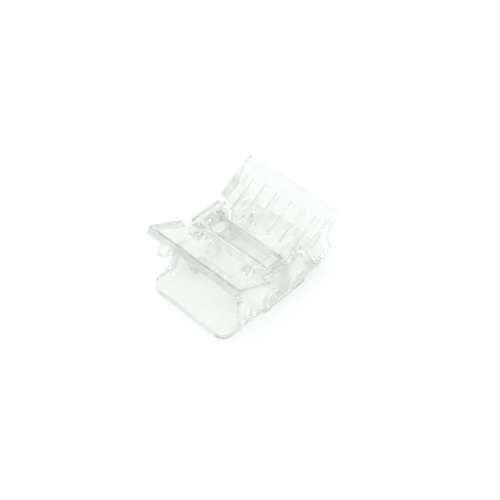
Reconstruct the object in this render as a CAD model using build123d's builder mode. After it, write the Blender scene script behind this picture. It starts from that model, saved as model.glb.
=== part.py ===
from build123d import *
from math import cos, radians, sin, tan
import os

# Solderless snap connector that joins a flat light strip to two wires.
# Millimetres. X runs across the strip, Y from the strip side (-) to the wire side (+), Z up.
# The origin is on the underside, below the middle of the frame ring. Both covers stand open.

# What the connector takes
strip_width = 10.0
strip_play = 0.2
strip_thickness = 0.35
wire_diameter = 1.5
wire_play = 0.06
contact_spacing = 8.2

# Tray on the strip side
side_wall = 1.2
tray_floor = 1.0
tray_reach = 6.5
tray_corner = 1.5
tray_edge_round = 0.3
tray_rim_width = 0.75
tray_rim_height = 0.15
wall_top_length = 1.9
wall_slope = 20.0
wall_foot_radius = 0.9
wall_top_gap = 0.15
wall_top_round = 0.35

# Bed on the wire side
bed_beyond_nub = 0.65
wire_bed_corner = 0.9
cradle_depth = 0.4
cradle_room = 0.05
bed_core_wall = 1.0
bed_core_roof = 0.9

# Ring that carries the hinges, and the block in its middle
ring_length = 7.4
ring_height = 6.0
end_wall = 0.6
lean_start = 3.4
ring_top_length = 4.6
ring_front_foot = 0.5
ring_rear_foot = 1.3
ring_top_round = 0.5
ring_edge_round = 0.25
block_length = 2.6
block_height = 5.2
block_edge_round = 0.2
link_gap = 0.3
strip_stop_height = 0.8
pocket_floor = 0.3
ledge_depth = 0.2
ledge_top = 2.5
ledge_margin = 0.25

# Hinges: pins on the cover arms turn in windows of the ring
window_wall = 0.65
pivot_height = 1.5
pin_diameter = 1.6
pin_clearance = 0.05
pin_setback = 0.05
pin_lead_in = 0.25
window_headroom = 0.4
window_corner = 0.12
lug_radius = 1.05
open_angle = 30.0

# Covers, sizes from the pivot
cover_reach = 9.5
cover_height = 3.45
cover_plate = 1.0
cover_corner = 0.4
cover_edge_round = 0.25
wide_length = 6.3
notch_run = 0.5
cheek_thickness = 1.0
cheek_clearance = 0.1
cheek_length = 2.8
cheek_corner = 0.5
cheek_ground_gap = 0.1
cheek_brace_height = 1.6
cheek_lip = 0.35
arm_thickness = 0.85
arm_clearance = 0.1
arm_neck = 1.5
arm_room = 0.45
arm_side_room = 0.2
arm_mark = 0.6
arm_mark_depth = 0.3
arm_mark_setback = 0.4
stop_gap = 0.06

# Inside of the covers
rib_thickness = 0.4
rib_depth = 0.9
rib_start = 2.3
rib_length = 5.3
rib_pitch = 2.0
pad_width = 1.8
pad_length = 2.5
sight_hole = 0.75
sight_hole_spacing = 1.4
relief_room = 0.2

# Snap: a nub on the base, an arched window in the cheek and a groove that leads to it
nub_length = 1.3
nub_height = 0.6
nub_reach = 0.35
nub_setback = 1.1
snap_room = 0.25
snap_bar = 0.45
snap_corner = 0.45
groove_room = 0.05

# Contacts: one folded strip each, with a forked tooth at both ends
contact_width = 1.0
contact_metal = 0.3
contact_bend = 0.2
contact_recess = 0.15
contact_room = 0.05
bridge_length = 1.8
bridge_roof = 0.8
grip_count = 3
grip_pitch = 0.3
grip_width = 0.14
grip_depth = 0.08
strip_tooth_from_pivot = 2.65
wire_tooth_from_pivot = 3.55
tooth_above_strip = 0.7
tooth_into_wire = 0.95
tooth_fork_depth = 0.55

# Sizes that follow from the ones above
channel_half = (strip_width + strip_play) / 2
base_half = channel_half + side_wall
ring_half = base_half + end_wall
ring_end = ring_length / 2
ring_top_end = ring_top_length / 2
tray_front = -(ring_end + tray_reach)
block_end = block_length / 2
contact_x = contact_spacing / 2

pin_radius = pin_diameter / 2
window_half = pin_radius + pin_clearance
pivot_y = ring_end - window_wall - window_half
link_length = 2 * (pivot_y - lug_radius - link_gap)
window_bottom = pivot_height - window_half
window_top = pivot_height + pin_radius + window_headroom

plate_under = cover_height - cover_plate
closed_under = pivot_height + plate_under
cheek_inner = base_half + cheek_clearance
cover_half = cheek_inner + cheek_thickness
arm_outer = base_half - arm_clearance
arm_inner = arm_outer - arm_thickness
arm_middle = (arm_inner + arm_outer) / 2
block_half = arm_inner - arm_side_room
cheek_back = cover_reach - wide_length
cheek_front = cheek_back + cheek_length
nub_from_pivot = cheek_back + nub_setback
bed_rear = pivot_y + nub_from_pivot + nub_length / 2 + bed_beyond_nub
cheek_bottom = cheek_ground_gap - pivot_height
brace_top = cover_height - cheek_lip
brace_foot = plate_under - cheek_brace_height

# Opened, the upper back edge of a plate stands just clear of the block, which stops it
turn = radians(open_angle)
plate_back = (block_end - pivot_y + stop_gap + cover_height * sin(turn)) / cos(turn)

wall_back = pivot_y + arm_neck + arm_room
wall_top = closed_under - wall_top_gap
strip_top = tray_floor + strip_thickness
wire_axis = closed_under - wire_diameter / 2
bed_top = closed_under - wire_diameter + cradle_depth
strip_tooth_y = pivot_y + strip_tooth_from_pivot
wire_tooth_y = pivot_y + wire_tooth_from_pivot
pad_bottom = strip_top - pivot_height
pad_from_pivot = strip_tooth_from_pivot + sight_hole_spacing / 2
relief_top = pad_bottom + tooth_above_strip + relief_room
relief_across = contact_width + 2 * relief_room
relief_along = contact_metal + 2 * relief_room
snap_bottom = cheek_bottom + snap_bar
snap_top = snap_bottom + nub_height + 2 * snap_room
snap_length = nub_length + 2 * snap_room
nub_middle = pivot_height + snap_bottom + snap_room + nub_height / 2
bridge_end = bridge_length / 2
bridge_top = block_height - bridge_roof
run_top = contact_recess + contact_metal
rib_from_contact = (wire_diameter + wire_play + rib_thickness) / 2

FRONT = -1
REAR = 1


def side_view(x):
    """Side view at x: local x is Y of the object and local y is Z."""
    return Plane(origin=(x, 0, 0), x_dir=(0, 1, 0), z_dir=(1, 0, 0))


def cover_side(side, x):
    """Side view of an open cover at x: local x runs from the pivot to the free edge."""
    reach = Vector(0, side * cos(turn), sin(turn))
    up = Vector(0, -side * sin(turn), cos(turn))
    pivot = Vector(x, side * pivot_y, pivot_height)
    return Plane(origin=pivot, x_dir=reach, z_dir=reach.cross(up))


def cover_level(side, height):
    """Top view of an open cover at a height over its pivot: local y runs to the free edge."""
    up = Vector(0, -side * sin(turn), cos(turn))
    origin = Vector(0, side * pivot_y, pivot_height) + up * height
    return Plane(origin=origin, x_dir=(side, 0, 0), z_dir=up)


# Base frame: tray, ring and wire bed in one clear moulding
with BuildPart() as base_frame:
    # Floor with the rounded front corners of the tray, and the hollow inside its rim
    with BuildSketch(Plane.XY) as floor_plan:
        with Locations((0, (tray_front + bed_rear) / 2)):
            Rectangle(2 * base_half, bed_rear - tray_front)
        fillet(floor_plan.vertices().group_by(Axis.Y)[0], tray_corner)
        fillet(floor_plan.vertices().group_by(Axis.Y)[-1], wire_bed_corner)
    extrude(amount=tray_floor + tray_rim_height)
    fillet(base_frame.faces().sort_by(Axis.Z)[-1].edges(), tray_edge_round)
    with BuildSketch(Plane.XY.offset(tray_floor)) as tray_hollow:
        with Locations((0, (tray_front + tray_rim_width) / 2)):
            RectangleRounded(
                2 * (base_half - tray_rim_width),
                -tray_front - tray_rim_width,
                tray_corner - tray_rim_width,
            )
    extrude(amount=tray_rim_height, mode=Mode.SUBTRACT)

    # Bed that the wires lie on, narrower between the cover arms
    with BuildSketch(Plane.XY) as bed_plan:
        with Locations((0, (wall_back + bed_rear) / 2)):
            Rectangle(2 * base_half, bed_rear - wall_back)
        fillet(bed_plan.vertices().group_by(Axis.Y)[-1], wire_bed_corner)
        with Locations((0, wall_back / 2)):
            Rectangle(2 * block_half, wall_back)
    extrude(amount=bed_top)

    # Step in the ring that the end of the strip meets
    with BuildSketch(Plane.XY) as stop_plan:
        with Locations((0, -ring_end / 2)):
            Rectangle(2 * block_half, ring_end)
    extrude(amount=tray_floor + strip_stop_height)

    # Block across the middle, with the links to the end walls
    with BuildSketch(Plane.XY) as block_plan:
        Rectangle(2 * block_half, block_length)
        Rectangle(2 * base_half, link_length)
    extrude(amount=block_height)
    fillet(base_frame.faces().sort_by(Axis.Z)[-1].edges().filter_by(Axis.X), block_edge_round)

    # Side walls of the tray, sloped in front with a hollow foot
    for x in (channel_half, -base_half):
        with BuildSketch(side_view(x)) as wall_profile:
            slope_run = (wall_top - tray_floor) * tan(radians(wall_slope))
            top_front = -(wall_back + wall_top_length)
            foot = top_front - slope_run
            with BuildLine() as wall_line:
                Polyline(
                    (-wall_back, tray_floor / 2),
                    (-wall_back, wall_top),
                    (top_front, wall_top),
                    (foot, tray_floor),
                    (foot - 2 * wall_foot_radius, tray_floor),
                    (foot - 2 * wall_foot_radius, tray_floor / 2),
                    close=True,
                )
            make_face()
            fillet(wall_profile.vertices().group_by(Axis.Y)[-1], wall_top_round)
            at_floor = wall_profile.vertices().group_by(Axis.Y)[1].sort_by(Axis.X)
            fillet(at_floor[-1], wall_foot_radius)
        extrude(amount=side_wall)

    # Slots in the floor beside the block, where the cover arms turn
    with BuildSketch(Plane.XY.offset(pocket_floor)) as arm_slots:
        slot_width = base_half - block_half
        for side in (FRONT, REAR):
            with Locations((side * (block_half + slot_width / 2), 0)):
                Rectangle(slot_width, 2 * wall_back)
                Rectangle(slot_width, link_length, mode=Mode.SUBTRACT)
    extrude(amount=tray_floor + tray_rim_height - pocket_floor, mode=Mode.SUBTRACT)

    # End walls of the ring, leaning inwards above the hinge windows
    window_middle = (window_bottom + window_top) / 2
    for x in (base_half, -ring_half):
        with BuildSketch(side_view(x)) as end_profile:
            with BuildLine() as end_line:
                Polyline(
                    (-ring_end, 0),
                    (-ring_end, lean_start),
                    (-ring_top_end, ring_height),
                    (ring_top_end, ring_height),
                    (ring_end, lean_start),
                    (ring_end, 0),
                    close=True,
                )
            make_face()
            feet = end_profile.vertices().group_by(Axis.Y)[0].sort_by(Axis.X)
            fillet(feet[0], ring_front_foot)
            fillet(feet[-1], ring_rear_foot)
            fillet(end_profile.vertices().group_by(Axis.Y)[-1], ring_top_round)
            with Locations((-pivot_y, window_middle), (pivot_y, window_middle)):
                RectangleRounded(
                    2 * window_half,
                    window_top - window_bottom,
                    window_corner,
                    mode=Mode.SUBTRACT,
                )
        extrude(amount=end_wall)
        outer_face = base_frame.faces().sort_by(Axis.X)[-1 if x > 0 else 0]
        fillet(outer_face.outer_wire().edges(), ring_edge_round)

    # Shallow panel under a ledge, between the windows of each end wall
    panel_end = pivot_y - window_half - ledge_margin
    for x in (ring_half - ledge_depth, -ring_half):
        with BuildSketch(side_view(x)) as panel:
            with Locations((0, (window_bottom + ledge_top) / 2)):
                Rectangle(2 * panel_end, ledge_top - window_bottom)
        extrude(amount=ledge_depth, mode=Mode.SUBTRACT)

    # Cradles for the two wires
    cradle_radius = wire_diameter / 2 + cradle_room
    with BuildSketch(Plane.XZ.offset(-bed_rear)) as cradles:
        with Locations((-contact_x, wire_axis), (contact_x, wire_axis)):
            Circle(cradle_radius)
    extrude(amount=bed_rear - block_end, mode=Mode.SUBTRACT)

    # Nubs that the cheeks snap over
    for side in (FRONT, REAR):
        nub_y = side * (pivot_y + nub_from_pivot)
        with BuildSketch(Plane.XZ.offset(-nub_y)) as nub_profile:
            with BuildLine() as nub_line:
                Polyline(
                    (base_half - nub_reach, nub_middle + nub_height / 2),
                    (base_half, nub_middle + nub_height / 2),
                    (base_half + nub_reach, nub_middle),
                    (base_half + nub_reach, nub_middle - nub_height / 2),
                    (base_half - nub_reach, nub_middle - nub_height / 2),
                    close=True,
                )
            make_face()
            mirror(about=Plane.YZ)
        extrude(amount=nub_length / 2, both=True)

    # Room for the contacts, which are pressed in from below
    cut_half = contact_width / 2 + contact_room
    metal_half = contact_metal / 2 + contact_room
    for x in (-contact_x, contact_x):
        with BuildSketch(side_view(x)) as contact_slot:
            with Locations(((wire_tooth_y - strip_tooth_y) / 2, 0)):
                run_length = strip_tooth_y + wire_tooth_y + 2 * metal_half
                Rectangle(run_length, 2 * (run_top + contact_room))
            with Locations((0, bridge_top / 2)):
                Rectangle(bridge_length + 2 * contact_room, bridge_top + 2 * contact_room)
            with Locations((-strip_tooth_y, bed_top / 2), (wire_tooth_y, bed_top / 2)):
                Rectangle(2 * metal_half, bed_top)
        extrude(amount=cut_half, both=True, mode=Mode.SUBTRACT)

    # Hollow under the wire bed, between the contacts
    core_half = contact_x - cut_half - bed_core_wall
    core_front = block_end + bed_core_wall
    core_rear = bed_rear - bed_core_wall
    with BuildSketch(Plane.XY) as bed_core:
        with Locations((0, (core_front + core_rear) / 2)):
            Rectangle(2 * core_half, core_rear - core_front)
    extrude(amount=bed_top - bed_core_roof, mode=Mode.SUBTRACT)

base_frame.part.label = "base_frame"


def build_cover(side):
    """Plate with two cheeks, and two arms whose pins turn in the windows of the ring."""
    with BuildPart() as cover:
        # Plate, wide over the cheeks and narrow between the end walls of the ring
        with BuildSketch(cover_level(side, plate_under)) as plate_outline:
            with BuildLine() as plate_line:
                Polyline(
                    (-arm_outer, plate_back),
                    (-arm_outer, cheek_back - notch_run),
                    (-cover_half, cheek_back),
                    (-cover_half, cover_reach),
                    (cover_half, cover_reach),
                    (cover_half, cheek_back),
                    (arm_outer, cheek_back - notch_run),
                    (arm_outer, plate_back),
                    close=True,
                )
            make_face()
            fillet(plate_outline.vertices().group_by(Axis.Y)[-1], cover_corner)
        extrude(amount=cover_plate)

        # Cheeks that reach down over the sides of the base, with a brace up to the free edge
        for x in (-cover_half, cheek_inner):
            middle = x + cheek_thickness / 2
            with BuildSketch(cover_side(side, middle)) as cheek_profile:
                with BuildLine() as cheek_line:
                    Polyline(
                        (cheek_back, cover_height),
                        (cover_reach - cover_corner, cover_height),
                        (cover_reach - cover_corner, brace_top),
                        (cheek_front, brace_foot),
                        (cheek_front, cheek_bottom),
                        (cheek_back, cheek_bottom),
                        close=True,
                    )
                make_face()
                fillet(cheek_profile.vertices().group_by(Axis.Y)[0], cheek_corner)
            extrude(amount=cheek_thickness / 2, both=True)

            # Arched window that takes the nub
            with BuildSketch(cover_side(side, middle)) as snap_window:
                with BuildLine() as arch_line:
                    arch_half = snap_length / 2
                    FilletPolyline(
                        (nub_from_pivot - arch_half, snap_bottom),
                        (nub_from_pivot - arch_half, snap_top),
                        (nub_from_pivot + arch_half, snap_top),
                        (nub_from_pivot + arch_half, snap_bottom),
                        radius=snap_corner,
                    )
                    Line(
                        (nub_from_pivot - arch_half, snap_bottom),
                        (nub_from_pivot + arch_half, snap_bottom),
                    )
                make_face()
            extrude(amount=cheek_thickness / 2, both=True, mode=Mode.SUBTRACT)

        # Round along the outer edge of the top, over the cheeks and the free edge
        top = cover_level(side, cover_height)
        top_edges = cover.faces().sort_by(Axis(top.origin, top.z_dir))[-1].edges()
        rim = top_edges.filter_by(lambda edge: top.to_local_coords(edge.center()).Y > cheek_back)
        fillet(rim, cover_edge_round)

        # Grooves that lead the nubs up to the windows
        groove_depth = nub_reach - cheek_clearance + groove_room
        for side_x in (-1, 1):
            groove_middle = side_x * (cheek_inner + groove_depth / 2)
            with BuildSketch(cover_side(side, groove_middle)) as groove:
                with Locations((nub_from_pivot, (cheek_bottom + snap_bottom) / 2)):
                    Rectangle(snap_length, snap_bottom - cheek_bottom)
            extrude(amount=groove_depth / 2, both=True, mode=Mode.SUBTRACT)

        # Arms down to the pivot
        for side_x in (-1, 1):
            with BuildSketch(cover_side(side, side_x * arm_middle)) as arm:
                Circle(lug_radius)
                with BuildLine() as arm_line:
                    Polyline(
                        (-lug_radius, 0),
                        (plate_back, cover_height),
                        (arm_neck + notch_run, cover_height),
                        (arm_neck + notch_run, plate_under),
                        (arm_neck, plate_under - notch_run),
                        (lug_radius, 0),
                        close=True,
                    )
                make_face()
            extrude(amount=arm_thickness / 2, both=True)

        # Round marks of the ejector pins on top of the arms
        mark_from_pivot = plate_back + arm_mark_setback
        with BuildSketch(top) as ejector_marks:
            with Locations((-arm_middle, mark_from_pivot), (arm_middle, mark_from_pivot)):
                Circle(arm_mark / 2)
        extrude(amount=-arm_mark_depth, mode=Mode.SUBTRACT)

        # Pins with a lead-in at the end
        pin_end = ring_half - pin_setback
        pivot = Vector(0, side * pivot_y, pivot_height)
        pin_plane = Plane(origin=pivot, x_dir=(1, 0, 0), z_dir=(0, -1, 0))
        with BuildSketch(pin_plane) as pin_profile:
            with BuildLine() as pin_line:
                Polyline(
                    (arm_inner, 0),
                    (pin_end, 0),
                    (pin_end, pin_radius - pin_lead_in),
                    (pin_end - pin_lead_in, pin_radius),
                    (arm_inner, pin_radius),
                    close=True,
                )
            make_face()
            mirror(about=Plane.YZ)
        revolve(axis=Axis(pivot, (1, 0, 0)))
    return cover


# Cover that presses the strip onto its contacts
with BuildPart() as strip_cover:
    add(build_cover(FRONT).part)
    # Pads over the contacts
    with BuildSketch(cover_level(FRONT, pad_bottom)) as pads:
        with Locations((-contact_x, pad_from_pivot), (contact_x, pad_from_pivot)):
            Rectangle(pad_width, pad_length)
    extrude(amount=plate_under - pad_bottom)

    # Pockets in the pads that the points of the teeth enter
    with BuildSketch(cover_level(FRONT, pad_bottom)) as reliefs:
        with Locations((-contact_x, strip_tooth_from_pivot), (contact_x, strip_tooth_from_pivot)):
            SlotOverall(relief_across, relief_along)
    extrude(amount=relief_top - pad_bottom, mode=Mode.SUBTRACT)

    # Two sight holes through each pad, the first one over the tooth
    with BuildSketch(cover_level(FRONT, pad_bottom)) as sight_holes:
        for x in (-contact_x, contact_x):
            with Locations((x, pad_from_pivot)):
                with GridLocations(0, sight_hole_spacing, 1, 2):
                    Circle(sight_hole / 2)
    extrude(amount=cover_height - pad_bottom, mode=Mode.SUBTRACT)

strip_cover.part.label = "strip_cover"

# Cover that presses the wires down, with ribs that keep each one over its contact
with BuildPart() as wire_cover:
    add(build_cover(REAR).part)
    outer_rib = contact_x + rib_from_contact
    inner_rib = contact_x - rib_from_contact
    middle_rib = inner_rib - rib_pitch
    rib_end = rib_start + rib_length
    for rib in (outer_rib, inner_rib, middle_rib):
        for x in (-rib, rib):
            with BuildSketch(cover_side(REAR, x)) as rib_profile:
                with BuildLine() as rib_line:
                    Polyline(
                        (rib_start, plate_under),
                        (rib_start + rib_thickness, plate_under - rib_depth),
                        (rib_end - rib_depth, plate_under - rib_depth),
                        (rib_end, plate_under),
                        close=True,
                    )
                make_face()
            extrude(amount=rib_thickness / 2, both=True)

wire_cover.part.label = "wire_cover"


def build_contact(x):
    """Folded strip: forked tooth, run under the floor, bridge in the block, run, forked tooth."""
    run = contact_recess + contact_metal / 2
    bridge = bridge_end - contact_metal / 2
    bridge_height = bridge_top - contact_metal / 2
    front_tip = strip_top + tooth_above_strip
    rear_tip = closed_under - wire_diameter + tooth_into_wire
    with BuildPart() as contact:
        with BuildSketch(side_view(x)) as contact_profile:
            with BuildLine() as contact_line:
                FilletPolyline(
                    (-strip_tooth_y, front_tip),
                    (-strip_tooth_y, run),
                    (-bridge, run),
                    (-bridge, bridge_height),
                    (bridge, bridge_height),
                    (bridge, run),
                    (wire_tooth_y, run),
                    (wire_tooth_y, rear_tip),
                    radius=contact_bend + contact_metal / 2,
                )
            trace(line_width=contact_metal)
        extrude(amount=contact_width / 2, both=True)

        # Grooves across the top of the bridge
        with BuildSketch(side_view(x)) as grips:
            with Locations((0, bridge_top)):
                with GridLocations(grip_pitch, 0, grip_count, 1):
                    Rectangle(grip_width, 2 * grip_depth)
        extrude(amount=contact_width / 2, both=True, mode=Mode.SUBTRACT)

        # Forks: two points on each tooth
        half = contact_width / 2
        for y, tip in ((-strip_tooth_y, front_tip), (wire_tooth_y, rear_tip)):
            with BuildSketch(Plane.XZ.offset(-y)) as fork:
                with BuildLine() as fork_line:
                    Polyline(
                        (x - 2 * half, tip + half),
                        (x - 2 * half, tip - tooth_fork_depth),
                        (x - half, tip - tooth_fork_depth / 2),
                        (x - half / 2, tip),
                        (x, tip - tooth_fork_depth),
                        (x + half / 2, tip),
                        (x + half, tip - tooth_fork_depth / 2),
                        (x + 2 * half, tip - tooth_fork_depth),
                        (x + 2 * half, tip + half),
                        close=True,
                    )
                make_face()
            extrude(amount=contact_metal, both=True, mode=Mode.SUBTRACT)
    return contact


contact_left = build_contact(-contact_x)
contact_left.part.label = "contact_left"

contact_right = build_contact(contact_x)
contact_right.part.label = "contact_right"

os.makedirs("parts", exist_ok=True)
export_step(base_frame.part, "parts/base_frame.step")
export_step(strip_cover.part, "parts/strip_cover.step")
export_step(wire_cover.part, "parts/wire_cover.step")
export_step(contact_left.part, "parts/contact_left.step")
export_step(contact_right.part, "parts/contact_right.step")
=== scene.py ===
# %% [markdown]
# A clear snap connector for LED strip
#
# The object is one small assembly of clear polycarbonate mouldings with two folded metal
# contacts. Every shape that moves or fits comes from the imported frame. This lesson gives
# those shapes the edges, the clearness and the light that make them look moulded.

# %% Load the frame
import math

import bmesh
import bpy
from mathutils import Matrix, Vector
from mathutils.bvhtree import BVHTree


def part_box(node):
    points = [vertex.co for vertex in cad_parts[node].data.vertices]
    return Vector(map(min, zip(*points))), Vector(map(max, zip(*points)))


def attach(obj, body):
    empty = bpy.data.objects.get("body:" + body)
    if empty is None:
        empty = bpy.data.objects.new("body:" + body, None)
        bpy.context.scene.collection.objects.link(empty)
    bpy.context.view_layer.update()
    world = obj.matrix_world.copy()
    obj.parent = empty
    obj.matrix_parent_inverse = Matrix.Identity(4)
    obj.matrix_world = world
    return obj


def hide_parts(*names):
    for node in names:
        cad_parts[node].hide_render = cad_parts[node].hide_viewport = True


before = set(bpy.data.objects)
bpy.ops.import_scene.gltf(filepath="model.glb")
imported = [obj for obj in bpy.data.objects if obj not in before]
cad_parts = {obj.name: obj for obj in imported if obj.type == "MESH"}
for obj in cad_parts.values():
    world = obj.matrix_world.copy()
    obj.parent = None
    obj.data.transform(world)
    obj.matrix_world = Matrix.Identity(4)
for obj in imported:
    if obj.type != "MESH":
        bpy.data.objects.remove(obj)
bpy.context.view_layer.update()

MM = 0.001

# %% [markdown]
# The camera
#
# The photograph looks down on the connector from its front right. A real lens draws near
# edges larger than far ones, so the distance matters as much as the angle. The distance and
# the focal length here were fitted to the corners of the base.

# %% Camera
FRAME_PIXELS = 500
FOCAL_PIXELS = 928.1
SENSOR_WIDTH = 36.0
TURN = math.radians(43.37)
LIFT = math.radians(47.02)
DISTANCE = 115 * MM
AIM = Vector((0, 0, 2.5 * MM))
SHIFT_RIGHT = 0.671 * MM
SHIFT_UP = 0.655 * MM
NEAREST = 1 * MM
FARTHEST = 10

back = Vector(
    (
        math.sin(TURN) * math.cos(LIFT),
        -math.cos(TURN) * math.cos(LIFT),
        math.sin(LIFT),
    )
)
right = Vector((math.cos(TURN), math.sin(TURN), 0))
up = back.cross(right)

camera_data = bpy.data.cameras.new("photo_camera")
camera_data.sensor_width = SENSOR_WIDTH
camera_data.lens = FOCAL_PIXELS * SENSOR_WIDTH / FRAME_PIXELS
camera_data.clip_start = NEAREST
camera_data.clip_end = FARTHEST
camera = bpy.data.objects.new("photo_camera", camera_data)
camera.location = AIM + back * DISTANCE + right * SHIFT_RIGHT + up * SHIFT_UP
camera.rotation_mode = "QUATERNION"
camera.rotation_quaternion = (-back).to_track_quat("-Z", "Y")
bpy.context.scene.collection.objects.link(camera)
bpy.context.scene.camera = camera
print("lens in mm:", round(camera_data.lens, 1))

# %% [markdown]
# Colour and nodes
#
# Colours are written as the hex values that a colour picker shows. Blender computes light in
# linear values, so one function turns the first into the second. A second function adds a
# node, gives it its settings and joins it to what feeds it. Inputs that share a name, as on
# maths and mix nodes, are told apart by their place: i0 is the first one.


# %% Colour and node helpers
def linear(hex_colour):
    """Linear RGBA of an sRGB hex colour."""
    channels = [int(hex_colour[i : i + 2], 16) / 255 for i in (1, 3, 5)]
    return [c / 12.92 if c <= 0.04045 else ((c + 0.055) / 1.055) ** 2.4 for c in channels] + [1]


def add(tree, kind, settings=None, **inputs):
    """Adds a node. An input is named with underscores and takes a value or its feeds."""
    node = tree.nodes.new(kind)
    for name, value in (settings or {}).items():
        setattr(node, name, value)
    for name, value in inputs.items():
        if name[0] == "i" and name[1:].isdigit():
            socket = node.inputs[int(name[1:])]
        else:
            socket = node.inputs[name.replace("_", " ")]
        feeds = value if isinstance(value, tuple) else (value,)
        if isinstance(feeds[0], bpy.types.NodeSocket):
            for feed in feeds:
                tree.links.new(feed, socket)
        else:
            socket.default_value = value
    return node


def new_material(name):
    """An empty node material and its tree."""
    material = bpy.data.materials.new(name)
    material.use_nodes = True
    material.node_tree.nodes.clear()
    return material, material.node_tree


print("middle grey #808080 is", round(linear("#808080")[0], 3), "in linear light")

# %% [markdown]
# The studio
#
# Clear plastic has almost no colour of its own. What the eye reads is what its faces bend
# into view, so the studio is a white room: a white floor that fills the picture, and a pale
# sky that is a little darker overhead than at the horizon. One large lamp hangs above. A
# second one stands low on the right and reaches the end walls, the third lights the raised
# edge of the front cover. The floor is lit until it is just pure white, as in a product shot.

# %% Floor
FLOOR_HALF = 3.0
FLOOR_GAP = 0.02 * MM
floor_mesh = bpy.data.meshes.new("floor")
floor_corners = [(-1, -1), (1, -1), (1, 1), (-1, 1)]
floor_mesh.from_pydata(
    [(x * FLOOR_HALF, y * FLOOR_HALF, -FLOOR_GAP) for x, y in floor_corners],
    [],
    [(0, 1, 2, 3)],
)
floor = bpy.data.objects.new("floor", floor_mesh)
bpy.context.scene.collection.objects.link(floor)

paper, tree = new_material("white_paper")
paper_shader = add(
    tree, "ShaderNodeBsdfPrincipled", Base_Color=linear("#F7F7F7"), Roughness=0.9
)
paper_shader.inputs["Specular IOR Level"].default_value = 0.1
add(tree, "ShaderNodeOutputMaterial", Surface=paper_shader.outputs[0])
floor_mesh.materials.append(paper)
print("floor side in m:", 2 * FLOOR_HALF)

# %% Sky
world = bpy.data.worlds.new("studio")
bpy.context.scene.world = world
world.use_nodes = True
sky = world.node_tree
sky.nodes.clear()
direction = add(sky, "ShaderNodeTexCoord")
split = add(sky, "ShaderNodeSeparateXYZ", Vector=direction.outputs["Generated"])
ramp = add(sky, "ShaderNodeValToRGB", Fac=split.outputs["Z"])
ramp.color_ramp.elements[0].position = 0.0
ramp.color_ramp.elements[0].color = linear("#F2F4F3")
ramp.color_ramp.elements[1].position = 0.75
ramp.color_ramp.elements[1].color = linear("#EEF0EF")
studio = add(sky, "ShaderNodeBackground", Color=ramp.outputs["Color"], Strength=1.0)
add(sky, "ShaderNodeOutputWorld", Surface=studio.outputs[0])
print("the sky has", len(sky.nodes), "nodes")


# %% Lamps
def soft_light(name, position, side, power):
    """A square lamp that faces the connector."""
    data = bpy.data.lights.new(name, "AREA")
    data.shape = "SQUARE"
    data.size = side
    data.energy = power
    lamp = bpy.data.objects.new(name, data)
    lamp.location = position
    lamp.rotation_mode = "QUATERNION"
    lamp.rotation_quaternion = Vector(position).to_track_quat("Z", "Y")
    bpy.context.scene.collection.objects.link(lamp)
    print(name, "in m from the connector:", round(lamp.location.length, 2))


soft_light("top_light", position=(-0.10, 0.10, 0.60), side=0.70, power=0.88)
soft_light("side_light", position=(0.50, 0.20, 0.25), side=0.30, power=0.55)
soft_light("front_light", position=(-0.05, -0.50, 0.15), side=0.20, power=0.25)
bpy.context.scene.view_settings.view_transform = "Standard"

# %% [markdown]
# Clear polycarbonate
#
# Thick stretches of polycarbonate look faintly green. The green comes from the depth of
# plastic that the light crosses, so it is an absorbing volume and not a painted colour. The
# wide faces come off polished steel, which is never quite flat: a slow ripple makes their
# reflections wander. Ribs, cheeks, rims and walls stand upright in the mould, in slots that
# no polisher reaches. They are left as the spark erosion cut them, so their faces are dull,
# and draw the lines that show the form through the clear plates. One mask finds them: it
# reads how far a face looks up or down. The same mask also gives the upright faces a lighter
# colour than the level ones. That colour is painted light, not a colour of the plastic. A
# faint grain breaks up the gloss. It is drawn 0.12 mm wide, coarser than the real one, so
# that the render can show it.
#
# The index of light bending is 1.26 here and about 1.58 in the real plastic. With the real
# one, light is trapped in the thin plates until their edges turn almost black, which the
# photograph doesn't show.

# %% Values of the plastic
RIPPLE = 1.6 * MM
RIPPLE_HEIGHT = 0.05 * MM
RIPPLE_STRENGTH = 0.3
GRAIN = 0.12 * MM
HAZE = 0.03
IOR = 1.26
CLEARNESS = 0.77
ERODED_DULLNESS = 0.32
UPRIGHT_BELOW = 0.60
LEVEL_ABOVE = 0.72
upright_lean = math.degrees(math.asin(UPRIGHT_BELOW))
print("a face counts as upright while it leans less than", round(upright_lean), "degrees")


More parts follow.
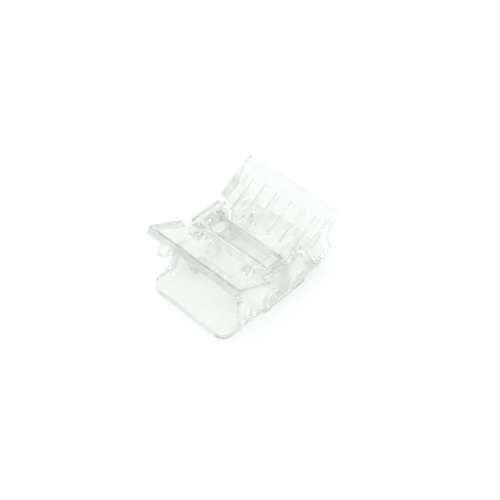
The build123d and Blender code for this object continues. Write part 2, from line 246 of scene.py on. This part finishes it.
# %% Polycarbonate
def polycarbonate(name, tint, wall_painted_light, depth_colour, density):
    """Clear moulded plastic that lamps shine through, so that it casts only a faint shadow."""
    material, tree = new_material(name)
    place = add(tree, "ShaderNodeTexCoord").outputs
    looks = add(tree, "ShaderNodeSeparateXYZ", Vector=place["Normal"])
    upward = add(tree, "ShaderNodeMath", {"operation": "ABSOLUTE"}, i0=looks.outputs["Z"])
    # One mask for two things: the real dullness of the eroded upright faces, and painted light
    # that gives those faces a lighter colour.
    eroded_and_painted_light = add(
        tree,
        "ShaderNodeMapRange",
        Value=upward.outputs[0],
        From_Min=UPRIGHT_BELOW,
        From_Max=LEVEL_ABOVE,
        To_Min=1.0,
        To_Max=0.0,
    )
    # Painted light: upright faces take the lighter second colour, picked by which way the face
    # looks.
    colour = add(
        tree,
        "ShaderNodeMix",
        {"data_type": "RGBA"},
        i0=eroded_and_painted_light.outputs[0],
        i6=linear(tint),
        i7=linear(wall_painted_light),
    )
    grain = add(
        tree, "ShaderNodeTexNoise", Vector=place["Object"], Scale=1 / GRAIN, Detail=1.0
    )
    haze = add(tree, "ShaderNodeMapRange", Value=grain.outputs[0], To_Min=0.0, To_Max=HAZE)
    dullness = add(
        tree,
        "ShaderNodeMath",
        {"operation": "MULTIPLY_ADD"},
        i0=eroded_and_painted_light.outputs[0],
        i1=ERODED_DULLNESS,
        i2=haze.outputs[0],
    )
    ripple = add(
        tree, "ShaderNodeTexNoise", Vector=place["Object"], Scale=1 / RIPPLE, Detail=2.0
    )
    flow = add(
        tree,
        "ShaderNodeBump",
        Height=ripple.outputs[0],
        Strength=RIPPLE_STRENGTH,
        Distance=RIPPLE_HEIGHT,
    )
    clear = add(
        tree,
        "ShaderNodeBsdfPrincipled",
        Base_Color=colour.outputs[2],
        Roughness=dullness.outputs[0],
        IOR=IOR,
        Transmission_Weight=CLEARNESS,
        Normal=flow.outputs[0],
    )
    lamp_ray = add(tree, "ShaderNodeLightPath").outputs["Is Shadow Ray"]
    through = add(tree, "ShaderNodeBsdfTransparent", Color=(1, 1, 1, 1))
    mixed = add(
        tree, "ShaderNodeMixShader", i0=lamp_ray, i1=clear.outputs[0], i2=through.outputs[0]
    )
    depth = add(
        tree, "ShaderNodeVolumeAbsorption", Color=linear(depth_colour), Density=density
    )
    add(
        tree,
        "ShaderNodeOutputMaterial",
        Surface=mixed.outputs[0],
        Volume=depth.outputs[0],
    )
    return material


# The second, lighter colour is painted light on the upright faces.
clear_plastic = polycarbonate(
    "clear_polycarbonate",
    tint="#F2F3F2",
    wall_painted_light="#F9FBF9",
    depth_colour="#DAE8DA",
    density=20,
)
print(clear_plastic.name, "has", len(clear_plastic.node_tree.nodes), "nodes")

# %% [markdown]
# Tin-plated contact metal
#
# The contacts are stamped from a copper alloy strip and plated with tin, which gives a soft
# grey shine with fine lines along the rolling direction. The lines are drawn 0.05 mm wide,
# coarser than the real ones, because finer ones would blur away.

# %% Tin plate
ROLLING = 0.05 * MM
LINE_STRETCH = 0.08
tin_plate, tree = new_material("tin_plated_strip")
place = add(tree, "ShaderNodeTexCoord").outputs["Object"]
stretched = add(tree, "ShaderNodeMapping", Vector=place)
stretched.inputs["Scale"].default_value = (1, LINE_STRETCH, LINE_STRETCH)
lines = add(
    tree, "ShaderNodeTexNoise", Vector=stretched.outputs[0], Scale=1 / ROLLING, Detail=3.0
)
shine = add(tree, "ShaderNodeMapRange", Value=lines.outputs[0], To_Min=0.22, To_Max=0.42)
tin = add(
    tree,
    "ShaderNodeBsdfPrincipled",
    Base_Color=linear("#F2F2EE"),
    Metallic=1.0,
    Roughness=shine.outputs[0],
)
add(tree, "ShaderNodeOutputMaterial", Surface=tin.outputs[0])
print("length of a rolling line in mm:", round(ROLLING / LINE_STRETCH / MM, 2))

# %% [markdown]
# Edges
#
# No moulded or stamped edge is perfectly sharp, and on clear plastic the rounded edge is the
# brightest line of all. A narrow bevel along every sharp edge gives that line. It could be
# modelled by hand, but a Bevel modifier that looks at the angle finds every edge by itself,
# so one function serves all the pieces. Where several thin faces meet, a bevel can throw a
# corner out of the piece, so the function puts every stray corner back on the sharp form.
# The faces stay flat shaded, because a clear plate bends the light wrongly, in soft clouds,
# as soon as its flat faces are shaded as if they were round.

# %% Rounded edges
SHARP_ANGLE = math.radians(35)
BEVEL_STEPS = 2
STRAY_SHARE = 0.5
print("edges that turn by more than", round(math.degrees(SHARP_ANGLE)), "degrees are rounded")


def baked(piece):
    """The piece's mesh as its modifiers shape it."""
    return bpy.data.meshes.new_from_object(
        piece.evaluated_get(bpy.context.evaluated_depsgraph_get())
    )


def round_edges(piece, radius):
    """Rounds a piece's sharp edges. A corner far from the sharp form is put back on it."""
    sharp_form = BVHTree.FromPolygons(
        [vertex.co for vertex in piece.data.vertices],
        [polygon.vertices for polygon in piece.data.polygons],
    )
    bevel = piece.modifiers.new("edges", "BEVEL")
    bevel.width = radius
    bevel.segments = BEVEL_STEPS
    bevel.limit_method = "ANGLE"
    bevel.angle_limit = SHARP_ANGLE
    bevel.use_clamp_overlap = False
    rounded = baked(piece)
    stray = 0
    for vertex in rounded.vertices:
        on_form, _, _, away = sharp_form.find_nearest(vertex.co)
        if away > radius * STRAY_SHARE:
            vertex.co = on_form
            stray += 1
    piece.modifiers.remove(bevel)
    piece.data = rounded
    print(piece.name, "rounded, corners put back:", stray)


def stand_for(piece, node, body):
    """Lets a finished piece take the place of its CAD node."""
    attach(piece, body)
    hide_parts(node)
    print(piece.name, "stands for", node, "with", len(piece.data.polygons), "faces")


# %% [markdown]
# The three mouldings
#
# The base and the two covers are single mouldings with many small walls, so their form comes
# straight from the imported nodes. Each node is copied, its loose triangles are joined and its
# flat faces are made whole, because a bevel needs to know where a real edge is. The node
# itself is left alone.

# %% Mouldings
MERGE = 0.0002 * MM
FLAT_ANGLE = math.radians(0.5)
MOULD_EDGE = 0.04 * MM


def moulding(node, name, body):
    """A copy of a CAD node with whole faces and rounded edges, in clear plastic."""
    form = bmesh.new()
    form.from_mesh(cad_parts[node].data)
    bmesh.ops.remove_doubles(form, verts=form.verts, dist=MERGE)
    bmesh.ops.dissolve_limit(
        form, angle_limit=FLAT_ANGLE, verts=form.verts, edges=form.edges
    )
    mesh = bpy.data.meshes.new(name)
    form.to_mesh(mesh)
    form.free()
    mesh.materials.append(clear_plastic)
    piece = bpy.data.objects.new(name, mesh)
    bpy.context.scene.collection.objects.link(piece)
    round_edges(piece, MOULD_EDGE)
    stand_for(piece, node, body)


moulding("base_frame", "base_moulding", "base")
moulding("strip_cover", "strip_cover_moulding", "strip_cover")
moulding("wire_cover", "wire_cover_moulding", "wire_cover")

# %% [markdown]
# The folded contacts
#
# A contact starts as a flat strip of metal. It is folded up into a tooth at each end and into
# a bridge in the middle, its ends are cut into two points, and grooves are pressed across the
# bridge. That is a path with a section, and cutters that repeat, so Geometry Nodes make it:
# the path is the middle of the metal, Fillet Curve bends it, Curve to Mesh gives it its
# section, and one Mesh Boolean takes the cutters away. The sizes stay named inputs.

# %% Sizes of a contact
METAL = 0.3 * MM
BEND_INSIDE = 0.2 * MM
BRIDGE_LENGTH = 1.8 * MM
STRIP_TIP = 2.05 * MM
WIRE_TIP = 3.4 * MM
STAMPED_EDGE = 0.03 * MM


def contact_path(node):
    """The middle of the folded metal, from the strip tooth to the wire tooth."""
    low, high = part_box(node)
    middle = (low.x + high.x) / 2
    run = low.z + METAL / 2
    bridge = high.z - METAL / 2
    bridge_end = (BRIDGE_LENGTH - METAL) / 2
    strip_end = low.y + METAL / 2
    wire_end = high.y - METAL / 2
    side_points = [
        (strip_end, STRIP_TIP),
        (strip_end, run),
        (-bridge_end, run),
        (-bridge_end, bridge),
        (bridge_end, bridge),
        (bridge_end, run),
        (wire_end, run),
        (wire_end, WIRE_TIP),
    ]
    return [(middle, y, z) for y, z in side_points]


first_point = contact_path("contact_left")[0]
print("the left path starts in mm at", [round(side / MM, 2) for side in first_point])

# %% Inputs of the tree
CONTACT_SIZES = {
    "Width": 1.0 * MM,
    "Metal": METAL,
    "Bend Radius": BEND_INSIDE + METAL / 2,
    "Bend Steps": 5,
    "Fork Depth": 0.55 * MM,
    "Grip Count": 3,
    "Grip Pitch": 0.3 * MM,
    "Grip Width": 0.14 * MM,
    "Grip Depth": 0.08 * MM,
}


def new_tree(name, sizes):
    """An empty Geometry Nodes tree with a named input for each size, and those inputs."""
    tree = bpy.data.node_groups.new(name, "GeometryNodeTree")
    tree.interface.new_socket("Geometry", in_out="INPUT", socket_type="NodeSocketGeometry")
    tree.interface.new_socket("Geometry", in_out="OUTPUT", socket_type="NodeSocketGeometry")
    for label, value in sizes.items():
        kind = "NodeSocketInt" if isinstance(value, int) else "NodeSocketFloat"
        tree.interface.new_socket(label, in_out="INPUT", socket_type=kind)
    return tree, add(tree, "NodeGroupInput").outputs


print("sizes that the tree takes:", ", ".join(CONTACT_SIZES))

# %% Fork cutter
TOOTH_POINT = 0.25
DIAMOND_STEP = 3 * TOOTH_POINT
SHOULDER_STRETCH = 2
CUT_THROUGH = 3


def fork_cutter(tree, size):
    """Three diamonds in a row, the middle one for the notch and the outer ones for shoulders.

    The points of the tooth stand at TOOTH_POINT of the width from the middle.
    """
    diagonal = math.sqrt(2)
    sides = add(
        tree,
        "ShaderNodeCombineXYZ",
        X=size["Width"],
        Y=size["Metal"],
        Z=size["Fork Depth"],
    )
    diamond_size = add(
        tree,
        "ShaderNodeVectorMath",
        {"operation": "MULTIPLY"},
        i0=sides.outputs[0],
        i1=(diagonal * TOOTH_POINT, CUT_THROUGH, diagonal),
    )
    step = add(
        tree,
        "ShaderNodeVectorMath",
        {"operation": "MULTIPLY"},
        i0=sides.outputs[0],
        i1=(DIAMOND_STEP, 0, 0),
    )
    start = add(
        tree,
        "ShaderNodeVectorMath",
        {"operation": "MULTIPLY"},
        i0=sides.outputs[0],
        i1=(-DIAMOND_STEP, 0, 0),
    )
    cube = add(tree, "GeometryNodeMeshCube", Size=(1, 1, 1))
    turned = add(
        tree,
        "GeometryNodeTransform",
        Geometry=cube.outputs[0],
        Rotation=(0, math.radians(45), 0),
    )
    diamond = add(
        tree,
        "GeometryNodeTransform",
        Geometry=turned.outputs[0],
        Scale=diamond_size.outputs[0],
    )
    row = add(
        tree,
        "GeometryNodeMeshLine",
        Count=3,
        Start_Location=start.outputs[0],
        Offset=step.outputs[0],
    )
    place = add(tree, "GeometryNodeInputIndex")
    in_middle = add(
        tree,
        "FunctionNodeCompare",
        {"data_type": "INT", "operation": "EQUAL"},
        i2=place.outputs[0],
        i3=1,
    )
    stretch = add(
        tree,
        "GeometryNodeSwitch",
        {"input_type": "VECTOR"},
        i0=in_middle.outputs[0],
        i1=(SHOULDER_STRETCH, 1, 1),
        i2=(1, 1, 1),
    )
    return add(
        tree,
        "GeometryNodeInstanceOnPoints",
        Points=row.outputs[0],
        Instance=diamond.outputs[0],
        Scale=stretch.outputs[0],
    ).outputs[0]


# %% Cutters along the path
def tooth_cutters(tree, path, size):
    """A fork cutter on each end of the path."""
    neighbours = add(tree, "GeometryNodeInputMeshVertexNeighbors")
    is_end = add(
        tree,
        "FunctionNodeCompare",
        {"data_type": "INT", "operation": "EQUAL"},
        i2=neighbours.outputs["Vertex Count"],
        i3=1,
    )
    ends = add(tree, "GeometryNodeMeshToPoints", Mesh=path, Selection=is_end.outputs[0])
    return add(
        tree,
        "GeometryNodeInstanceOnPoints",
        Points=ends.outputs[0],
        Instance=fork_cutter(tree, size),
    ).outputs[0]


def grip_cutters(tree, path, size):
    """A row of bars across the top of the bridge, wider than it and half sunk into it."""
    box = add(tree, "GeometryNodeBoundBox", Geometry=path)
    highest = add(tree, "ShaderNodeSeparateXYZ", Vector=box.outputs["Max"])
    gaps = add(
        tree, "ShaderNodeMath", {"operation": "SUBTRACT"}, i0=size["Grip Count"], i1=1.0
    )
    row_length = add(
        tree,
        "ShaderNodeMath",
        {"operation": "MULTIPLY"},
        i0=gaps.outputs[0],
        i1=size["Grip Pitch"],
    )
    row_start = add(
        tree, "ShaderNodeMath", {"operation": "MULTIPLY"}, i0=row_length.outputs[0], i1=-0.5
    )
    bridge_top = add(
        tree,
        "ShaderNodeMath",
        {"operation": "MULTIPLY_ADD"},
        i0=size["Metal"],
        i1=0.5,
        i2=highest.outputs["Z"],
    )
    start = add(
        tree,
        "ShaderNodeCombineXYZ",
        X=highest.outputs["X"],
        Y=row_start.outputs[0],
        Z=bridge_top.outputs[0],
    )
    pitch = add(tree, "ShaderNodeCombineXYZ", Y=size["Grip Pitch"])
    row = add(
        tree,
        "GeometryNodeMeshLine",
        Count=size["Grip Count"],
        Start_Location=start.outputs[0],
        Offset=pitch.outputs[0],
    )
    groove = add(
        tree,
        "ShaderNodeCombineXYZ",
        X=size["Width"],
        Y=size["Grip Width"],
        Z=size["Grip Depth"],
    )
    bar_size = add(
        tree,
        "ShaderNodeVectorMath",
        {"operation": "MULTIPLY"},
        i0=groove.outputs[0],
        i1=(2, 1, 2),
    )
    bar = add(tree, "GeometryNodeMeshCube", Size=bar_size.outputs[0])
    return add(
        tree,
        "GeometryNodeInstanceOnPoints",
        Points=row.outputs[0],
        Instance=bar.outputs[0],
    ).outputs[0]


# %% Tree for a folded contact
def contact_tree():
    """Path, folds, section, cutters: the order in which the strip is stamped and folded."""
    tree, size = new_tree("folded_contact", CONTACT_SIZES)
    path = size["Geometry"]
    line = add(tree, "GeometryNodeMeshToCurve", Mesh=path)
    folded = add(
        tree,
        "GeometryNodeFilletCurve",
        {"mode": "POLY"},
        Curve=line.outputs[0],
        Count=size["Bend Steps"],
        Radius=size["Bend Radius"],
    )
    section = add(
        tree,
        "GeometryNodeCurvePrimitiveQuadrilateral",
        Width=size["Width"],
        Height=size["Metal"],
    )
    strip = add(
        tree,
        "GeometryNodeCurveToMesh",
        Curve=folded.outputs[0],
        Profile_Curve=section.outputs[0],
        Fill_Caps=True,
    )
    cutters = add(
        tree,
        "GeometryNodeJoinGeometry",
        i0=(tooth_cutters(tree, path, size), grip_cutters(tree, path, size)),
    )
    solid_cutters = add(tree, "GeometryNodeRealizeInstances", Geometry=cutters.outputs[0])
    cut = add(
        tree,
        "GeometryNodeMeshBoolean",
        {"operation": "DIFFERENCE", "solver": "EXACT"},
        i0=strip.outputs[0],
        i1=solid_cutters.outputs[0],
    )
    real = add(tree, "GeometryNodeRealizeInstances", Geometry=cut.outputs[0])
    plated = add(tree, "GeometryNodeSetMaterial", Geometry=real.outputs[0], Material=tin_plate)
    add(tree, "NodeGroupOutput", Geometry=plated.outputs[0])
    return tree


folded_contact = contact_tree()
print("the contact tree has", len(folded_contact.nodes), "nodes")


# %% Contacts
def piece_box(piece):
    """Lowest and highest corner of a piece in millimetres."""
    corners = [vertex.co / MM for vertex in piece.data.vertices]
    low = [round(min(c[axis] for c in corners), 2) for axis in range(3)]
    high = [round(max(c[axis] for c in corners), 2) for axis in range(3)]
    return low, high


def contact(node, name):
    """A folded contact grown along its path, in place of its CAD node."""
    path = contact_path(node)
    mesh = bpy.data.meshes.new(name)
    mesh.from_pydata(path, [(i, i + 1) for i in range(len(path) - 1)], [])
    piece = bpy.data.objects.new(name, mesh)
    bpy.context.scene.collection.objects.link(piece)
    modifier = piece.modifiers.new("folded_contact", "NODES")
    modifier.node_group = folded_contact
    for socket in folded_contact.interface.items_tree:
        if socket.in_out == "INPUT" and socket.name in CONTACT_SIZES:
            modifier[socket.identifier] = CONTACT_SIZES[socket.name]
    grown = baked(piece)
    piece.modifiers.remove(modifier)
    piece.data = grown
    round_edges(piece, STAMPED_EDGE)
    low, high = piece_box(piece)
    print(name, "in mm:", low, high)
    stand_for(piece, node, "base")


contact("contact_left", "left_contact")
contact("contact_right", "right_contact")
